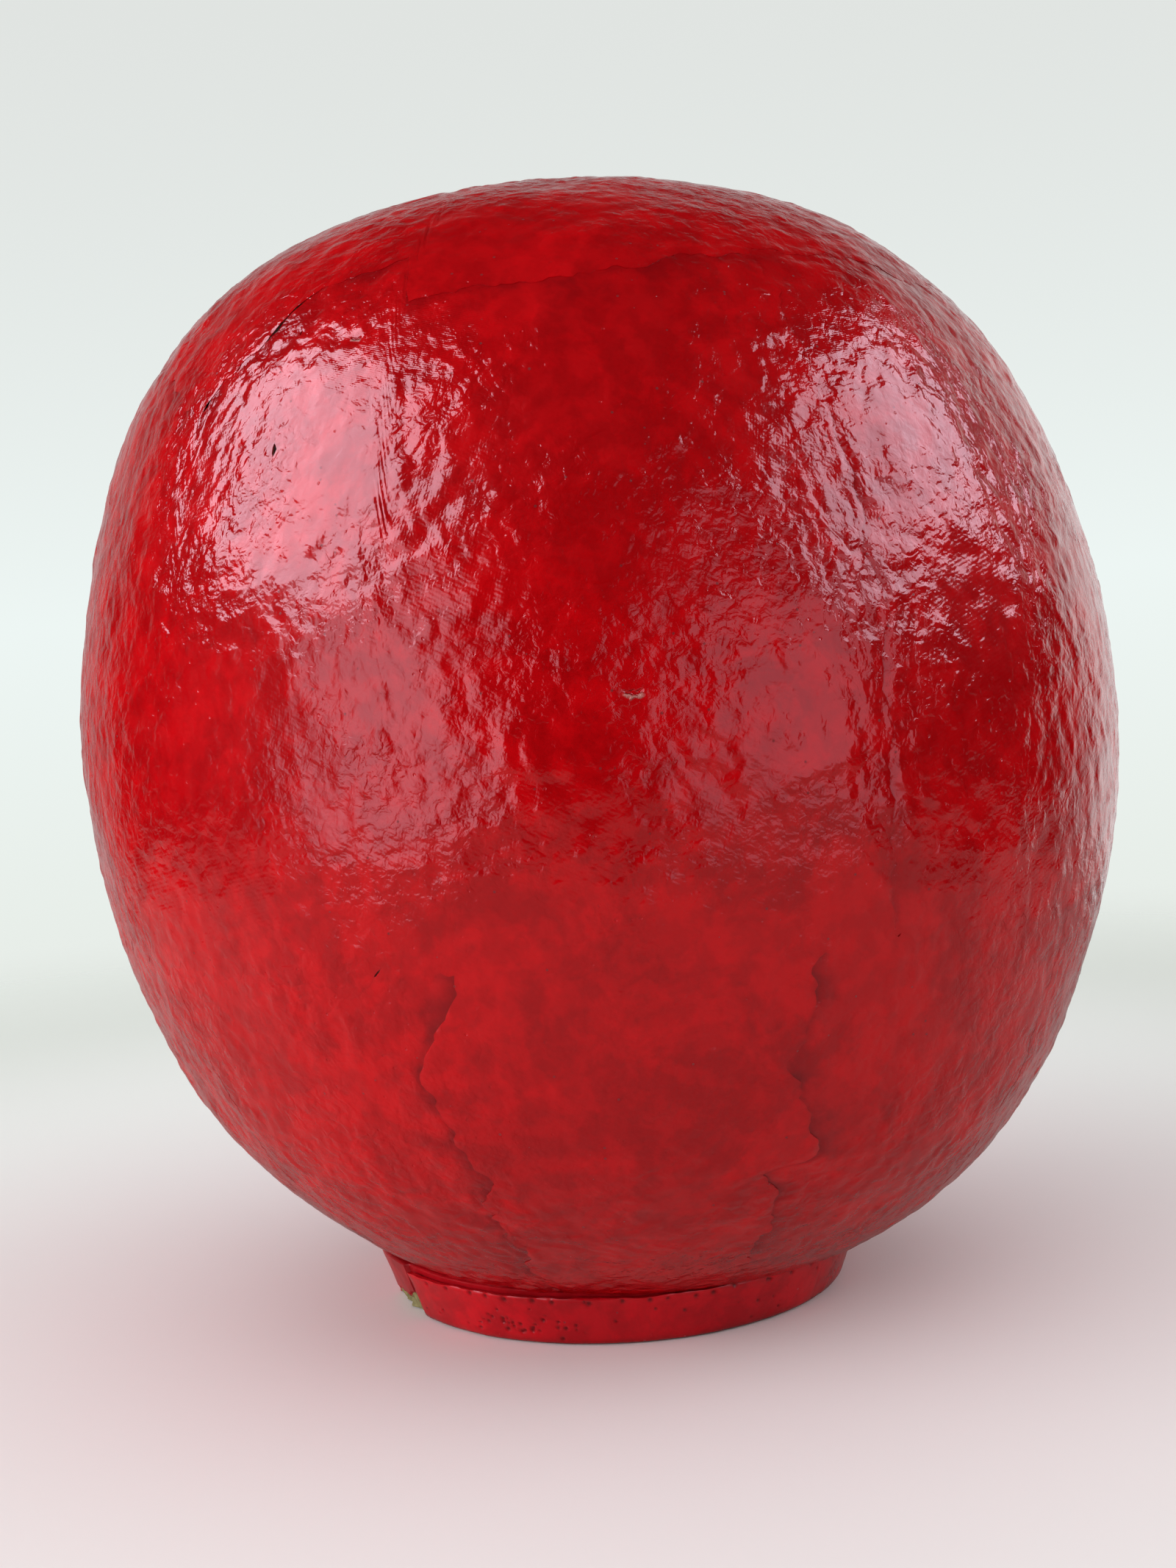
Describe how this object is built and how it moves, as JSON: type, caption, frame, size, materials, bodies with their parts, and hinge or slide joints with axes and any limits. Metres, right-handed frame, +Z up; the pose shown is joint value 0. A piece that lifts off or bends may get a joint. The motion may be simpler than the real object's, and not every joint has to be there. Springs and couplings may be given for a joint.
{
  "type": "egg shaker",
  "caption": "Lacquered papier-mache egg on a short weighted round foot, hollow, with loose clay beads inside that rattle when it is shaken.",
  "frame": {"origin": "centre of the flat underside of the foot, where the egg stands", "axes": "+Z up along the egg's axis, -Y towards the front, +X to the right seen from the front"},
  "size_m": [0.16, 0.16, 0.1705],
  "materials": {
    "red_lacquer": "torn paper sheets under thick, glossy, deep red lacquer",
    "liner_paper": "bare handmade paper, matt, stiff with paste",
    "moulded_paper": "moulded paper pulp, matt and slightly fuzzy",
    "weight_clay": "unfired fibrous clay, matt, red where lacquered",
    "bead_clay": "hand-rolled low-fired clay, matt"
  },
  "bodies": {
    "egg": {"core_front_half": "moulded_paper", "core_back_half": "moulded_paper", "liner_front": "liner_paper", "liner_right": "liner_paper", "liner_back": "liner_paper", "liner_left": "liner_paper", "liner_crown": "liner_paper", "lower_sheet_1": "red_lacquer", "lower_sheet_2": "red_lacquer", "lower_sheet_3": "red_lacquer", "lower_sheet_4": "red_lacquer", "lower_sheet_5": "red_lacquer", "lower_sheet_6": "red_lacquer", "lower_sheet_7": "red_lacquer", "lower_sheet_8": "red_lacquer", "lower_sheet_9": "red_lacquer", "lower_sheet_10": "red_lacquer", "upper_sheet_1": "red_lacquer", "upper_sheet_2": "red_lacquer", "upper_sheet_3": "red_lacquer", "upper_sheet_4": "red_lacquer", "upper_sheet_5": "red_lacquer", "upper_sheet_6": "red_lacquer", "crown_patch": "red_lacquer", "clay_weight": "weight_clay", "base_disc": "liner_paper", "foot_strip_front": "red_lacquer", "foot_strip_right": "red_lacquer", "foot_strip_back": "red_lacquer"},
    "bead_middle": {"bead_middle": "bead_clay"},
    "bead_inner_1": {"bead_inner_1": "bead_clay"},
    "bead_inner_2": {"bead_inner_2": "bead_clay"},
    "bead_inner_3": {"bead_inner_3": "bead_clay"},
    "bead_inner_4": {"bead_inner_4": "bead_clay"},
    "bead_inner_5": {"bead_inner_5": "bead_clay"},
    "bead_outer_1": {"bead_outer_1": "bead_clay"},
    "bead_outer_2": {"bead_outer_2": "bead_clay"},
    "bead_outer_3": {"bead_outer_3": "bead_clay"},
    "bead_outer_4": {"bead_outer_4": "bead_clay"},
    "bead_outer_5": {"bead_outer_5": "bead_clay"},
    "bead_outer_6": {"bead_outer_6": "bead_clay"},
    "bead_outer_7": {"bead_outer_7": "bead_clay"}
  },
  "joints": [
    {"name": "middle_hop", "type": "slide", "parent": "egg", "child": "bead_middle", "axis": [0, 0, 1], "range_m": [0, 0.146]},
    {"name": "inner_hop_1", "type": "slide", "parent": "egg", "child": "bead_inner_1", "axis": [0.1391, -0.3822, 0.9135], "range_m": [0, 0.123]},
    {"name": "inner_hop_2", "type": "slide", "parent": "egg", "child": "bead_inner_2", "axis": [0.4065, 0.0142, 0.9135], "range_m": [0, 0.123]},
    {"name": "inner_hop_3", "type": "slide", "parent": "egg", "child": "bead_inner_3", "axis": [0.1121, 0.391, 0.9135], "range_m": [0, 0.123]},
    {"name": "inner_hop_4", "type": "slide", "parent": "egg", "child": "bead_inner_4", "axis": [-0.3372, 0.2274, 0.9135], "range_m": [0, 0.123]},
    {"name": "inner_hop_5", "type": "slide", "parent": "egg", "child": "bead_inner_5", "axis": [-0.3205, -0.2504, 0.9135], "range_m": [0, 0.123]},
    {"name": "outer_roll_1", "type": "hinge", "parent": "egg", "child": "bead_outer_1", "pos_m": [0.00095, -0.00903, 0.06814], "axis": [-0.9945, -0.1045, 0], "range_deg": [0, 80]},
    {"name": "outer_roll_2", "type": "hinge", "parent": "egg", "child": "bead_outer_2", "pos_m": [0.00765, -0.00489, 0.06814], "axis": [-0.5384, -0.8427, 0], "range_deg": [0, 80]},
    {"name": "outer_roll_3", "type": "hinge", "parent": "egg", "child": "bead_outer_3", "pos_m": [0.0086, 0.00294, 0.06814], "axis": [0.3232, -0.9463, 0], "range_deg": [0, 80]},
    {"name": "outer_roll_4", "type": "hinge", "parent": "egg", "child": "bead_outer_4", "pos_m": [0.00306, 0.00855, 0.06814], "axis": [0.9414, -0.3373, 0], "range_deg": [0, 80]},
    {"name": "outer_roll_5", "type": "hinge", "parent": "egg", "child": "bead_outer_5", "pos_m": [-0.00477, 0.00773, 0.06814], "axis": [0.8507, 0.5257, 0], "range_deg": [0, 80]},
    {"name": "outer_roll_6", "type": "hinge", "parent": "egg", "child": "bead_outer_6", "pos_m": [-0.00902, 0.00108, 0.06814], "axis": [0.1194, 0.9928, 0], "range_deg": [0, 80]},
    {"name": "outer_roll_7", "type": "hinge", "parent": "egg", "child": "bead_outer_7", "pos_m": [-0.00647, -0.00637, 0.06814], "axis": [-0.7018, 0.7124, 0], "range_deg": [0, 80]}
  ]
}
